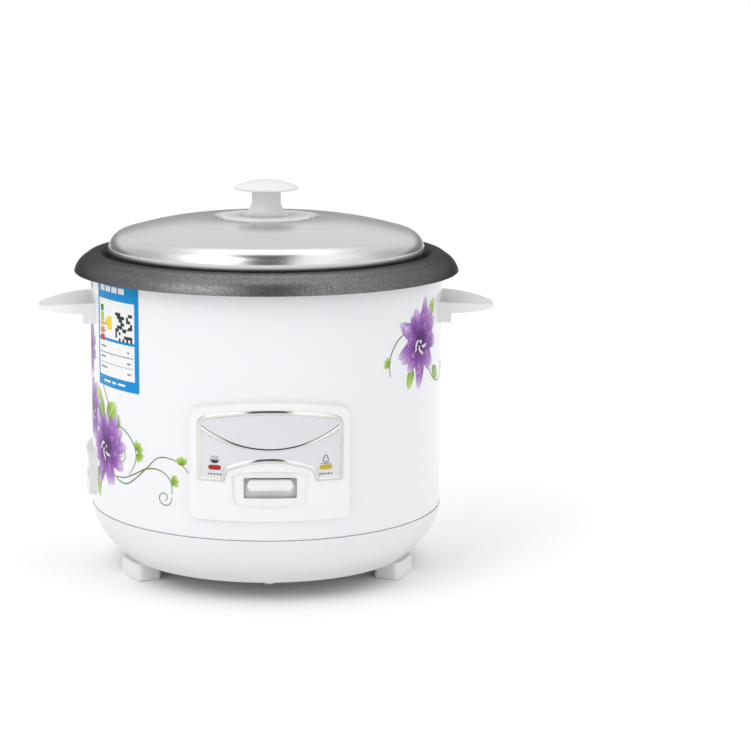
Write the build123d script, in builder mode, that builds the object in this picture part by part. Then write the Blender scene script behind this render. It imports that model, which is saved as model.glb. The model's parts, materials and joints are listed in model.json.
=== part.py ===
from build123d import *

import os
from math import asin, cos, degrees, radians, sin

# An electric rice cooker with a lift-off lid, a lift-out inner pot and a magnetic
# cook switch. Millimetres, +Z up. The origin is on the table under the centre of
# the body. The control panel faces -Y and the power inlet is on the -X side.

os.makedirs("parts", exist_ok=True)

# ---------------------------------------------------------------- driving dimensions
# Heights
cover_height = 10.0  # underside of the bottom cover, and the height of the feet
crease_height = 16.0  # where the base ring's lower step meets its bulge
seam_height = 38.0  # joint of the base ring and the shell
rim_height = 177.0  # top of the shell's rolled rim
liner_floor = 66.0  # top of the well's floor
pot_bottom = 80.0  # underside of the pot
plate_top = pot_bottom - 0.2  # heating plate's cooking face
flange_height = 182.2  # top of the pot's flange
lid_seat_height = 199.6  # flat of the lid that carries the knob

# Radii
body_radius = 100.0  # outside of the shell
well_radius = 91.0  # inside of the liner
pot_radius = 85.8  # outside of the pot under its flare
pot_rim_radius = 108.9  # outer edge of the pot's flange
lid_radius = 89.5  # outside of the lid's skirt
plate_radius = 66.0  # heating plate
floor_opening = 50.0  # opening in the well's floor

# Wall thicknesses
sheet = 0.8  # shell, liner and lid
pot_wall = 1.5
moulding = 2.4  # plastic walls
bracket_sheet = 1.2
gap = 0.3  # between pieces that move past or rest on each other

# Control panel
panel_face = 102.7  # radius of its front
panel_width = 87.0
panel_bottom = 48.0
panel_top = 114.5
trim_face = 103.0  # radius of the trim and inlay fronts
lens_angle = 16.7
lens_height = 78.1
slot_width = 28.4
slot_bottom = 61.4
slot_top = 72.7

# Cook switch
pivot_y = -48.0
pivot_z = 48.0
arm_height = 51.0  # underside of the lever's arm
arm_width = 12.0
pin_radius = 1.5
paddle_height = 69.0
switch_y = -73.0  # micro switch plunger
switch_x = 1.85

# Power inlet
inlet_height = 56.8
inlet_width = 50.0
inlet_rise = 24.2
socket_width = 28.0
socket_rise = 20.0
inlet_screw_y = 20.0

# Handles
handle_reach = 130.0
handle_width = 56.0
handle_top = 155.6
handle_underside = 149.3
bracket_reach = 103.0  # the deeper part that bears on the shell
bracket_bottom = 144.1
handle_screw_y = 14.0
handle_screw_z = 152.2
handle_screw_radius = 1.5
handle_screw_end = 105.5

# Feet and the screws that hold the bottom, their angles counted from the +X axis
foot_angles = {"front_left": 205.0, "front_right": 335.0, "rear": 90.0}
cover_screw_angles = (32.5, 147.5, 270.0)
ring_screw_angles = (*foot_angles.values(), *cover_screw_angles)
ring_screw_radius = 78.0


# ------------------------------------------------------------------------- helpers
def radial_plane(angle, radius, height):
    """A plane facing outward from the Z axis, its local Y up, 0 degrees at the front."""
    out = Vector(sin(radians(angle)), -cos(radians(angle)), 0)
    level = Vector(cos(radians(angle)), sin(radians(angle)), 0)
    return Plane(origin=out * radius + Vector(0, 0, height), x_dir=level, z_dir=out)


def wrapped(sketch, inner_radius, outer_radius):
    """Front sketch (x across, y up) pushed through a tube wall round the Z axis."""
    with BuildPart() as piece:
        extrude(sketch, amount=120, dir=(0, -1, 0))
        with BuildSketch() as wall:
            Circle(outer_radius)
            Circle(inner_radius, mode=Mode.SUBTRACT)
        extrude(amount=200, mode=Mode.INTERSECT)
    return piece.part


def screw(head_radius, head_height, shank_radius, length):
    """Slotted pan-head screw on the origin: head above the XY plane, shank below."""
    with BuildPart() as piece:
        Cylinder(head_radius, head_height, align=(Align.CENTER, Align.CENTER, Align.MIN))
        fillet(piece.faces().sort_by(Axis.Z)[-1].edges(), head_height * 0.4)
        with Locations((0, 0, head_height)):
            slot = (head_radius * 1.2, head_height * 0.3, head_height * 0.4)
            top = (Align.CENTER, Align.CENTER, Align.MAX)
            Box(*slot, align=top, mode=Mode.SUBTRACT)
        Cylinder(shank_radius, length, align=(Align.CENTER, Align.CENTER, Align.MAX))
    return piece.part


def around(angles, radius):
    """Spots at the given angles from the +X axis on a circle round the Z axis."""
    return [Rot(0, 0, angle) * Pos(radius, 0) for angle in angles]


def facing_down(angle, radius, height):
    """Downward-facing seat for a screw, its angle counted from the +X axis."""
    spot = Vector(cos(radians(angle)), sin(radians(angle)), 0) * radius
    return Plane(origin=spot + Vector(0, 0, height), z_dir=(0, 0, -1))


# ---------------------------------------------------------------------------- base
# Moulded ring: a lip, a crease, then a bulge up to the seam, with an inner ledge
# that the bottom cover screws to and a spigot that centres the shell.
base_lip = 84.0
ledge_radius = 73.0
spigot_radius = body_radius - sheet - 0.2
with BuildPart() as base_ring:
    with BuildSketch(Plane.XZ):
        with BuildLine():
            lip = Line((base_lip, cover_height), (89.5, crease_height))
            bulge = ThreePointArc(lip @ 1, (97.2, 26.5), (100.4, seam_height - 0.5))
            shoulder = Line(bulge @ 1, (spigot_radius, seam_height - 0.5))
            spigot = Line(shoulder @ 1, (spigot_radius, seam_height + 6))
            spigot_top = Line(spigot @ 1, (spigot_radius - moulding, seam_height + 6))
            inside_top = Line(spigot_top @ 1, (spigot_radius - moulding, seam_height - 1))
            inside = ThreePointArc(inside_top @ 1, (94.2, 27.0), (87.0, 17.0))
            inside_low = Line(inside @ 1, (84.0, 13.4))
            ledge_top = Line(inside_low @ 1, (ledge_radius, 13.4))
            ledge_end = Line(ledge_top @ 1, (ledge_radius, cover_height + 1))
            rebate = Line(ledge_end @ 1, (82.6, cover_height + 1))
            Polyline(rebate @ 1, (82.6, cover_height), lip @ 0)
        make_face()
    revolve(axis=Axis.Z)
    with BuildSketch(Plane.XY.offset(13.4)):
        with Locations(*around(ring_screw_angles, ring_screw_radius)):
            Circle(4.2)
    extrude(amount=9)
    with BuildSketch(Plane.XY.offset(cover_height + 1)):
        with Locations(*around(ring_screw_angles, ring_screw_radius)):
            Circle(1.6)
    extrude(amount=10, mode=Mode.SUBTRACT)
base_ring.part.label = "base_ring"
export_step(base_ring.part, "parts/base_ring.step")

# Steel cover with cooling slots, flush with the ring's lip.
with BuildPart() as bottom_cover:
    with BuildSketch(Plane.XY.offset(cover_height)):
        Circle(82.3)
        with Locations(*around(ring_screw_angles, ring_screw_radius)):
            Circle(1.6, mode=Mode.SUBTRACT)
        for ring_radius, count in ((28, 10), (50, 16)):
            with PolarLocations(ring_radius, count):
                SlotOverall(14, 3, mode=Mode.SUBTRACT)
    extrude(amount=1)
bottom_cover.part.label = "bottom_cover"
export_step(bottom_cover.part, "parts/bottom_cover.step")

# Three moulded feet under the lip: one at each side of the front and one behind.
foot_width = 25.0
foot_inside = 72.0
foot_outside = 87.0
for place, angle in foot_angles.items():
    with BuildPart() as foot:
        with BuildSketch() as pad:
            Circle(foot_outside)
            Circle(foot_inside, mode=Mode.SUBTRACT)
            with Locations(*around([angle], foot_outside)):
                Rectangle(40, foot_width, mode=Mode.INTERSECT)
            fillet(pad.vertices(), 3)
        extrude(amount=cover_height)
        fillet(foot.faces().sort_by(Axis.Z)[0].edges(), 1.2)
        with BuildSketch():
            with Locations(*around([angle], ring_screw_radius)):
                Circle(4.2)
        extrude(amount=4, mode=Mode.SUBTRACT)
        with BuildSketch():
            with Locations(*around([angle], ring_screw_radius)):
                Circle(1.6)
        extrude(amount=cover_height, mode=Mode.SUBTRACT)
    foot.part.label = f"foot_{place}"
    export_step(foot.part, f"parts/foot_{place}.step")

with BuildPart() as foot_screws:
    seats = [facing_down(angle, ring_screw_radius, 4.0) for angle in foot_angles.values()]
    with Locations(*seats):
        add(screw(3.2, 2.0, 1.6, 16))
foot_screws.part.label = "foot_screws"
export_step(foot_screws.part, "parts/foot_screws.step")

with BuildPart() as cover_screws:
    seats = [facing_down(angle, ring_screw_radius, cover_height) for angle in cover_screw_angles]
    with Locations(*seats):
        add(screw(3.2, 2.0, 1.6, 10))
cover_screws.part.label = "cover_screws"
export_step(cover_screws.part, "parts/cover_screws.step")

# --------------------------------------------------------------------------- shell
with BuildPart() as outer_shell:
    with BuildSketch(Plane.XZ):
        with BuildLine():
            wall = Line((body_radius, seam_height), (body_radius, rim_height - 3))
            roll = JernArc(wall @ 1, (0, 1), 3, 90)
            Line(roll @ 1, (94.5, rim_height))
            offset(amount=sheet, side=Side.LEFT)
        make_face()
    revolve(axis=Axis.Z)
    # Window behind the switch slot, and a hole behind each lens.
    with BuildSketch(Plane.XZ.offset(90)):
        with Locations((0, 66)):
            RectangleRounded(31, 17, 2)
    extrude(amount=20, mode=Mode.SUBTRACT)
    for side in (-1, 1):
        with BuildSketch(radial_plane(side * lens_angle, 90, lens_height)):
            SlotOverall(7.0, 2.6)
        extrude(amount=20, mode=Mode.SUBTRACT)
    # Inlet opening, with its two screw holes.
    with BuildSketch(Plane.YZ.offset(-110)):
        with Locations((0, inlet_height)):
            RectangleRounded(socket_width + 0.4, socket_rise + 0.4, 2)
        with Locations((-inlet_screw_y, inlet_height), (inlet_screw_y, inlet_height)):
            Circle(1.5)
    extrude(amount=20, mode=Mode.SUBTRACT)
    # Handle screw holes, through both sides.
    with BuildSketch(Plane.YZ.offset(-110)):
        with Locations((-handle_screw_y, handle_screw_z), (handle_screw_y, handle_screw_z)):
            Circle(handle_screw_radius)
    extrude(amount=220, mode=Mode.SUBTRACT)
outer_shell.part.label = "outer_shell"
export_step(outer_shell.part, "parts/outer_shell.step")

# Well that the pot hangs in: a flange under the shell's rim, a straight wall, a
# cone that clears the pot's rounded corner, and a floor with a round opening.
plate_leg_radius = 57.0
leg_angles = (90, 210, 330)
bracket_screw_ys = (-58.0, -72.0)
with BuildPart() as inner_liner:
    with BuildSketch(Plane.XZ):
        with BuildLine():
            FilletPolyline(
                (96.8, rim_height - sheet),
                (94.6, rim_height - sheet),
                (well_radius, 172.0),
                (well_radius, 98.0),
                (77.0, liner_floor),
                (floor_opening, liner_floor),
                radius=1.6,
            )
            offset(amount=sheet, side=Side.LEFT)
        make_face()
    revolve(axis=Axis.Z)
    with BuildSketch(Plane.XY.offset(60)):
        with PolarLocations(plate_leg_radius, 3, start_angle=leg_angles[0]):
            Circle(2.0)
        with Locations(*[(0, y) for y in bracket_screw_ys]):
            Circle(1.5)
    extrude(amount=8, mode=Mode.SUBTRACT)
inner_liner.part.label = "inner_liner"
export_step(inner_liner.part, "parts/inner_liner.step")

# -------------------------------------------------------------------------- heater
# Tubular element: a ring open at the back, its two ends turned down.
element_radius = 46.0
tube_radius = 3.6
element_height = 70.0
end_x = element_radius * cos(radians(60))
end_y = element_radius * sin(radians(60))
ring_start = Plane(origin=(0, 0, 0), x_dir=(-0.5, sin(radians(60)), 0), z_dir=(sin(radians(60)), 0.5, 0))
with BuildPart() as heating_element:
    with BuildSketch(ring_start):
        with Locations((element_radius, element_height)):
            Circle(tube_radius)
    revolve(axis=Axis.Z, revolution_arc=300)
    for x in (-end_x, end_x):
        with Locations((x, end_y, element_height)):
            Sphere(tube_radius)
            Cylinder(tube_radius, 10, align=(Align.CENTER, Align.CENTER, Align.MAX))
heating_element.part.label = "heating_element"
export_step(heating_element.part, "parts/heating_element.step")

with BuildPart() as element_terminals:
    with BuildSketch(Plane.XY.offset(element_height - 10)):
        with Locations((-end_x, end_y), (end_x, end_y)):
            Circle(1.5)
    extrude(amount=-7)
element_terminals.part.label = "element_terminals"
export_step(element_terminals.part, "parts/element_terminals.step")

# Cast plate on three short legs, with a hole for the sensor.
sensor_hole = 18.0
sleeve_ear_y = 26.0
with BuildPart() as heating_plate:
    with BuildSketch(Plane.XY.offset(element_height)):
        Circle(plate_radius)
        Circle(sensor_hole, mode=Mode.SUBTRACT)
    extrude(amount=plate_top - element_height)
    rims = heating_plate.edges().filter_by(GeomType.CIRCLE).group_by(Axis.Z)[-1]
    fillet(rims, 1.5)
    with BuildSketch(Plane.XY.offset(liner_floor)):
        with PolarLocations(plate_leg_radius, 3, start_angle=leg_angles[0]):
            Circle(5)
    extrude(amount=plate_top - element_height - 5)
    add(heating_element.part, mode=Mode.SUBTRACT)
    with BuildSketch(Plane.XY.offset(liner_floor)):
        with PolarLocations(plate_leg_radius, 3, start_angle=leg_angles[0]):
            Circle(2.0)
    extrude(amount=9, mode=Mode.SUBTRACT)
    with BuildSketch(Plane.XY.offset(element_height)):
        with Locations((0, -sleeve_ear_y), (0, sleeve_ear_y)):
            Circle(1.5)
    extrude(amount=5, mode=Mode.SUBTRACT)
heating_plate.part.label = "heating_plate"
export_step(heating_plate.part, "parts/heating_plate.step")

with BuildPart() as plate_screws:
    underside = liner_floor - sheet
    with Locations(*[facing_down(angle, plate_leg_radius, underside) for angle in leg_angles]):
        add(screw(3.6, 2.2, 2.0, 9))
plate_screws.part.label = "plate_screws"
export_step(plate_screws.part, "parts/plate_screws.step")

# Bimetal keep-warm thermostat against the plate's underside.
with BuildPart() as warm_thermostat:
    with BuildSketch(Plane.XY.offset(element_height)):
        with Locations((29, 12)):
            Circle(8)
    extrude(amount=-6)
    with BuildSketch(Plane.XY.offset(element_height - 6)):
        with Locations((29, 7), (29, 17)):
            Rectangle(4.8, 0.8)
    extrude(amount=-6)
warm_thermostat.part.label = "warm_thermostat"
export_step(warm_thermostat.part, "parts/warm_thermostat.step")

# Thermal fuse, strapped to the plate by a steel clip.
fuse_x = -31.0
fuse_radius = 2.2
with BuildPart() as thermal_fuse:
    with BuildSketch(Plane.XZ.offset(-20)):
        with Locations((fuse_x, element_height - fuse_radius)):
            Circle(fuse_radius)
    extrude(amount=18)
thermal_fuse.part.label = "thermal_fuse"
export_step(thermal_fuse.part, "parts/thermal_fuse.step")

with BuildPart() as fuse_clip:
    with BuildSketch(Plane.XZ.offset(-15)):
        with Locations((fuse_x, element_height)):
            Rectangle(12, 5.4, align=(Align.CENTER, Align.MAX))
            Rectangle(4.4, 4.5, align=(Align.CENTER, Align.MAX), mode=Mode.SUBTRACT)
            with Locations((-5.2, -2.2), (5.2, -2.2)):
                Rectangle(3.0, 5.0, mode=Mode.SUBTRACT, align=(Align.CENTER, Align.CENTER))
    extrude(amount=8)
fuse_clip.part.label = "fuse_clip"
export_step(fuse_clip.part, "parts/fuse_clip.step")

# --------------------------------------------------------------- magnetic thermostat
# The sensor cap stands on a spring in the plate's centre and carries a ferrite
# ring. The magnet below it rises with the lever, holds on to the ferrite while the
# pot is below boiling-dry heat, and drops when the ferrite gets too hot.
cap_top = plate_top - gap
cap_radius = 15.0
ferrite_bottom = 74.5
magnet_top = 70.2
magnet_bottom = 64.8
sleeve_bottom = 60.0
sleeve_radius = 16.2

with BuildPart() as sensor_cap:
    with BuildSketch(Plane.XZ):
        with Locations((0, cap_top)):
            Rectangle(cap_radius, 9.5, align=(Align.MIN, Align.MAX))
        with Locations((0, cap_top - 1)):
            Rectangle(cap_radius - sheet, 8.5, align=(Align.MIN, Align.MAX), mode=Mode.SUBTRACT)
    revolve(axis=Axis.Z)
    fillet(sensor_cap.faces().sort_by(Axis.Z)[-1].edges(), 0.7)
sensor_cap.part.label = "sensor_cap"
export_step(sensor_cap.part, "parts/sensor_cap.step")

with BuildPart() as ferrite_ring:
    with BuildSketch(Plane.XY.offset(ferrite_bottom)):
        Circle(11.5)
        Circle(5.0, mode=Mode.SUBTRACT)
    extrude(amount=cap_top - 1 - ferrite_bottom)
ferrite_ring.part.label = "ferrite_ring"
export_step(ferrite_ring.part, "parts/ferrite_ring.step")

with BuildPart() as thermostat_sleeve:
    with BuildSketch(Plane.XY.offset(sleeve_bottom)):
        Circle(sleeve_radius)
    extrude(amount=element_height - sleeve_bottom)
    with BuildSketch(Plane.XY.offset(element_height - 1)):
        Circle(20.5)
        SlotOverall(2 * sleeve_ear_y + 11, 11, rotation=90)
    extrude(amount=1)
    with BuildSketch(Plane.XY.offset(sleeve_bottom + sheet)):
        Circle(sleeve_radius - sheet)
    extrude(amount=element_height - sleeve_bottom, mode=Mode.SUBTRACT)
    with BuildSketch(Plane.XY.offset(sleeve_bottom)):
        Circle(2.4)
        with Locations((0, -sleeve_ear_y), (0, sleeve_ear_y)):
            Circle(1.5)
    extrude(amount=20, mode=Mode.SUBTRACT)
thermostat_sleeve.part.label = "thermostat_sleeve"
export_step(thermostat_sleeve.part, "parts/thermostat_sleeve.step")

with BuildPart() as sleeve_screws:
    with Locations(*[facing_down(angle, sleeve_ear_y, element_height - 1) for angle in (90, 270)]):
        add(screw(2.8, 1.8, 1.5, 5))
sleeve_screws.part.label = "sleeve_screws"
export_step(sleeve_screws.part, "parts/sleeve_screws.step")

with BuildPart() as magnet:
    with BuildSketch(Plane.XY.offset(magnet_bottom)):
        Circle(11.3)
        Circle(5.0, mode=Mode.SUBTRACT)
    extrude(amount=magnet_top - magnet_bottom)
magnet.part.label = "magnet"
export_step(magnet.part, "parts/magnet.step")

# Steel cup under the magnet, with the rod and collar that the lever lifts.
collar_bottom = arm_height + bracket_sheet + gap
with BuildPart() as magnet_cup:
    with BuildSketch(Plane.XY.offset(magnet_bottom - sheet)):
        Circle(12.3)
    extrude(amount=5.2)
    with BuildSketch(Plane.XY.offset(magnet_bottom)):
        Circle(11.3)
    extrude(amount=10, mode=Mode.SUBTRACT)
    with BuildSketch(Plane.XY.offset(magnet_bottom - sheet)):
        Circle(2.0)
    extrude(amount=-18)
    with BuildSketch(Plane.XY.offset(collar_bottom)):
        Circle(4.0)
    extrude(amount=1.5)
magnet_cup.part.label = "magnet_cup"
export_step(magnet_cup.part, "parts/magnet_cup.step")


def coil_spring(radius, wire, bottom, top, turns):
    """Round-wire compression spring standing between two heights."""
    rise = top - bottom - wire
    with BuildPart() as piece:
        with BuildLine() as coil:
            Helix(pitch=rise / turns, height=rise, radius=radius, center=(0, 0, bottom + wire / 2))
        with BuildSketch(Plane(origin=coil.line @ 0, z_dir=coil.line % 0)):
            Circle(wire / 2)
        sweep(is_frenet=True)
    return piece.part


with BuildPart() as sensor_spring:
    add(coil_spring(14.0, 1.0, sleeve_bottom + sheet, cap_top - 9.5, 3))
sensor_spring.part.label = "sensor_spring"
export_step(sensor_spring.part, "parts/sensor_spring.step")

with BuildPart() as magnet_spring:
    add(coil_spring(3.6, 0.7, magnet_bottom, cap_top - 1, 6))
magnet_spring.part.label = "magnet_spring"
export_step(magnet_spring.part, "parts/magnet_spring.step")

# ---------------------------------------------------------------------- cook switch
# Folded bracket hung under the well's floor: two cheeks carry the lever's pin, and
# the longer one carries the micro switch.
cheek_inside = 7.0
bracket_back = -42.0
bracket_front = -90.0
bracket_top = liner_floor - sheet
with BuildPart() as switch_bracket:
    with BuildSketch(Plane.YZ.offset(cheek_inside)):
        with BuildLine():
            Polyline(
                (bracket_front, bracket_top),
                (bracket_back, bracket_top),
                (bracket_back, 44.0),
                (-57.0, 44.0),
                (-57.0, 31.5),
                (bracket_front, 31.5),
                close=True,
            )
        make_face()
    extrude(amount=bracket_sheet)
    with BuildSketch(Plane.YZ.offset(-cheek_inside)):
        with Locations((-48.0, bracket_top)):
            Rectangle(12, bracket_top - 44.0, align=(Align.CENTER, Align.MAX))
    extrude(amount=-bracket_sheet)
    with BuildSketch(Plane.XY.offset(bracket_top)):
        with Locations((0, (bracket_front + bracket_back) / 2)):
            Rectangle(2 * (cheek_inside + bracket_sheet), bracket_back - bracket_front)
        with Locations(*[(0, y) for y in bracket_screw_ys]):
            Circle(1.5, mode=Mode.SUBTRACT)
    extrude(amount=-bracket_sheet)
    with BuildSketch(Plane.YZ.offset(-20)):
        with Locations((pivot_y, pivot_z)):
            Circle(pin_radius)
    extrude(amount=40, mode=Mode.SUBTRACT)
    with BuildSketch(Plane.YZ):
        with Locations((-84, 36), (-64, 36)):
            Circle(1.2)
    extrude(amount=20, mode=Mode.SUBTRACT)
switch_bracket.part.label = "switch_bracket"
export_step(switch_bracket.part, "parts/switch_bracket.step")

with BuildPart() as bracket_screws:
    seat_height = bracket_top - bracket_sheet
    with Locations(*[facing_down(270, -y, seat_height) for y in bracket_screw_ys]):
        add(screw(2.8, 1.6, 1.5, 4))
bracket_screws.part.label = "bracket_screws"
export_step(bracket_screws.part, "parts/bracket_screws.step")

with BuildPart() as lever_pin:
    half_length = cheek_inside + bracket_sheet
    with BuildSketch(Plane.YZ.offset(-half_length)):
        with Locations((pivot_y, pivot_z)):
            Circle(pin_radius)
    extrude(amount=2 * half_length)
    for side in (-1, 1):
        with BuildSketch(Plane.YZ.offset(side * half_length)):
            with Locations((pivot_y, pivot_z)):
                Circle(2.6)
        extrude(amount=side * 1.0)
lever_pin.part.label = "lever_pin"
export_step(lever_pin.part, "parts/lever_pin.step")

# Lever: a strip from the paddle back to the magnet's rod, with two pivot ears. Its
# back end is forked round the rod and its front end is turned up behind the paddle.
arm_front = -95.6
with BuildPart() as switch_lever:
    with BuildSketch(Plane.XY.offset(arm_height)):
        with Locations((0, arm_front)):
            Rectangle(arm_width, 4.5 - arm_front, align=(Align.CENTER, Align.MIN))
        with Locations((0, -3.0)):
            Rectangle(4.8, 10, align=(Align.CENTER, Align.MIN), mode=Mode.SUBTRACT)
    extrude(amount=bracket_sheet)
    with BuildSketch(Plane.XZ.offset(-arm_front)):
        with Locations((0, arm_height)):
            Rectangle(arm_width, 20.5, align=(Align.CENTER, Align.MIN))
    extrude(amount=-bracket_sheet)
    for side in (-1, 1):
        with BuildSketch(Plane.YZ.offset(side * arm_width / 2)):
            with Locations((pivot_y, pivot_z)):
                Circle(4.0)
                Rectangle(8.0, arm_height - pivot_z, align=(Align.CENTER, Align.MIN))
                Circle(pin_radius + 0.06, mode=Mode.SUBTRACT)
        extrude(amount=-side * bracket_sheet)
switch_lever.part.label = "switch_lever"
export_step(switch_lever.part, "parts/switch_lever.step")

# Paddle: a plate behind the slot, with the pill-shaped ridge that is pressed.
with BuildPart() as switch_paddle:
    with BuildSketch(Plane.XZ.offset(-arm_front)):
        with Locations((0, 58.5)):
            Rectangle(slot_width + 0.2, 13.8, align=(Align.CENTER, Align.MIN))
    extrude(amount=1.6)
    with BuildSketch(Plane.XZ.offset(1.6 - arm_front)):
        with Locations((0, paddle_height)):
            SlotOverall(24.5, 5.7)
    extrude(amount=7.4)
    ridge_front = switch_paddle.faces().sort_by(Axis.Y)[0]
    fillet(ridge_front.edges(), 1.3)
switch_paddle.part.label = "switch_paddle"
export_step(switch_paddle.part, "parts/switch_paddle.step")

# Snap-action micro switch under the front of the lever.
with BuildPart() as micro_switch:
    with BuildSketch(Plane.YZ.offset(cheek_inside)):
        with Locations((-74, 31.5)):
            Rectangle(28, 16, align=(Align.CENTER, Align.MIN))
    extrude(amount=-10.3)
    fillet(micro_switch.edges().filter_by(Axis.X), 1)
    with BuildSketch(Plane.XY.offset(41.5)):
        with Locations((switch_x, switch_y)):
            Rectangle(3.6, 4.6)
    extrude(amount=10, mode=Mode.SUBTRACT)
    with BuildSketch(Plane.YZ.offset(cheek_inside - 10.3)):
        with Locations((-84, 36), (-64, 36)):
            Circle(1.2)
    extrude(amount=20, mode=Mode.SUBTRACT)
micro_switch.part.label = "micro_switch"
export_step(micro_switch.part, "parts/micro_switch.step")

with BuildPart() as switch_plunger:
    with BuildSketch(Plane.XY.offset(44)):
        with Locations((switch_x, switch_y)):
            Rectangle(3, 4)
    extrude(amount=arm_height - gap - 44)
    fillet(switch_plunger.faces().sort_by(Axis.Z)[-1].edges(), 0.6)
switch_plunger.part.label = "switch_plunger"
export_step(switch_plunger.part, "parts/switch_plunger.step")

with BuildPart() as switch_terminals:
    with BuildSketch(Plane.XY.offset(31.5)):
        with Locations(*[(switch_x, y) for y in (-83, -74, -65)]):
            Rectangle(0.8, 4.8)
    extrude(amount=-7)
switch_terminals.part.label = "switch_terminals"
export_step(switch_terminals.part, "parts/switch_terminals.step")

with BuildPart() as switch_screws:
    left_face = cheek_inside - 10.3
    heads = [Plane(origin=(left_face, y, 36), z_dir=(-1, 0, 0)) for y in (-84, -64)]
    with Locations(*heads):
        add(screw(2.2, 1.4, 1.2, 11.5))
switch_screws.part.label = "switch_screws"
export_step(switch_screws.part, "parts/switch_screws.step")

# --------------------------------------------------------------------- control panel
# Curved plate with an arched top and a bevelled border. A shallow bevelled recess
# surrounds the slot that the paddle's ridge comes through.
with BuildPart() as control_panel:
    with BuildSketch(Plane.XZ) as panel_outline:
        with BuildLine():
            half = panel_width / 2
            top = ThreePointArc((-half, 110.0), (0, panel_top), (half, 110.0))
            Polyline(top @ 1, (half, panel_bottom), (-half, panel_bottom), top @ 0)
        make_face()
        corners = panel_outline.vertices().group_by(Axis.Y)
        fillet(corners[0], 4)
        fillet(panel_outline.vertices().group_by(Axis.Y)[-1], 6)
    add(wrapped(panel_outline.sketch, body_radius, panel_face), mode=Mode.REPLACE)
    front = control_panel.faces().filter_by(GeomType.CYLINDER).sort_by(Axis.Y)[0]
    chamfer(front.edges(), 1.2, 2.6)
    with BuildSketch(Plane.XZ.offset(104)) as recess:
        with BuildLine():
            Polyline((-24, 77.6), (24, 77.6), (22, 54.8), (-22, 54.8), close=True)
        make_face()
        fillet(recess.vertices(), 3)
    with BuildPart(mode=Mode.PRIVATE) as recess_cut:
        extrude(recess.sketch, amount=-6, taper=38)
        Cylinder(101.4, 400, mode=Mode.SUBTRACT)
    add(recess_cut.part, mode=Mode.SUBTRACT)
    with BuildSketch(Plane.XZ.offset(90)):
        with Locations((0, (slot_bottom + slot_top) / 2)):
            RectangleRounded(slot_width, slot_top - slot_bottom, 1)
    extrude(amount=20, mode=Mode.SUBTRACT)
    for side in (-1, 1):
        with BuildSketch(radial_plane(side * lens_angle, 90, lens_height)):
            SlotOverall(7.0, 2.6)
        extrude(amount=20, mode=Mode.SUBTRACT)
control_panel.part.label = "control_panel"
export_step(control_panel.part, "parts/control_panel.step")

# Bright frame: two feet beside the switch, an arch over it and an arched top.
frame_width = 1.6
with BuildSketch(Plane.XZ) as frame_outline:
    with BuildLine():
        head = ThreePointArc((-39.0, 105.0), (0, 109.5), (39.0, 105.0))
        right = Polyline(head @ 1, (39.0, 70.5), (24.6, 70.5), (22.8, 76.2))
        arch = ThreePointArc(right @ 1, (0, 81.1), (-22.8, 76.2))
        Polyline(arch @ 1, (-24.6, 70.5), (-39.0, 70.5), head @ 0)
    make_face()
    fillet(frame_outline.vertices().group_by(Axis.Y)[-1], 5)
with BuildSketch(Plane.XZ) as inlay_outline:
    add(frame_outline.sketch_local)
    offset(amount=-frame_width)
with BuildSketch(Plane.XZ) as band_outline:
    with BuildLine():
        upper = ThreePointArc((-38.0, 101.6), (0, 88.9), (38.0, 101.6))
        lower = ThreePointArc((-38.0, 97.4), (0, 87.6), (38.0, 97.4))
        Line(upper @ 0, lower @ 0)
        Line(upper @ 1, lower @ 1)
    make_face()
    add(inlay_outline.sketch_local, mode=Mode.INTERSECT)

with BuildSketch(Plane.XZ) as ring_outline:
    add(frame_outline.sketch_local)
    add(inlay_outline.sketch_local, mode=Mode.SUBTRACT)
with BuildPart() as trim_frame:
    add(wrapped(ring_outline.sketch, panel_face, trim_face + 0.3))
trim_frame.part.label = "trim_frame"
export_step(trim_frame.part, "parts/trim_frame.step")

with BuildPart() as trim_band:
    add(wrapped(band_outline.sketch, trim_face, trim_face + 0.3))
trim_band.part.label = "trim_band"
export_step(trim_band.part, "parts/trim_band.step")

with BuildPart() as panel_inlay:
    add(wrapped(inlay_outline.sketch, panel_face, trim_face))
    for side in (-1, 1):
        with BuildSketch(radial_plane(side * lens_angle, 90, lens_height)):
            SlotOverall(7.0, 2.6)
        extrude(amount=20, mode=Mode.SUBTRACT)
panel_inlay.part.label = "panel_inlay"
export_step(panel_inlay.part, "parts/panel_inlay.step")

# Indicator lenses and the neon lamps behind them.
lamp_height = 12.0
for place, side in (("cook", -1), ("warm", 1)):
    with BuildPart() as lens:
        with BuildSketch(radial_plane(side * lens_angle, 98.4, lens_height)):
            SlotOverall(7.0, 2.6)
        extrude(amount=trim_face + 0.4 - 98.4)
        fillet(lens.faces().sort_by(Axis.Y)[0].edges(), 0.3)
    lens.part.label = f"{place}_lens"
    export_step(lens.part, f"parts/{place}_lens.step")
    lamp_spot = radial_plane(side * lens_angle, 95.6, lens_height).origin
    with BuildPart() as lamp:
        with Locations(lamp_spot):
            Cylinder(2.2, lamp_height)
        fillet(lamp.faces().sort_by(Axis.Z)[-1].edges(), 1.8)
    lamp.part.label = f"{place}_lamp"
    export_step(lamp.part, f"parts/{place}_lamp.step")

with BuildPart() as lamp_holder:
    with BuildSketch(Plane.XY.offset(lens_height - 5)):
        Circle(93.3)
        Circle(92.2, mode=Mode.SUBTRACT)
        with Locations((0, -93)):
            Rectangle(66, 20, mode=Mode.INTERSECT)
    extrude(amount=10)
lamp_holder.part.label = "lamp_holder"
export_step(lamp_holder.part, "parts/lamp_holder.step")

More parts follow.
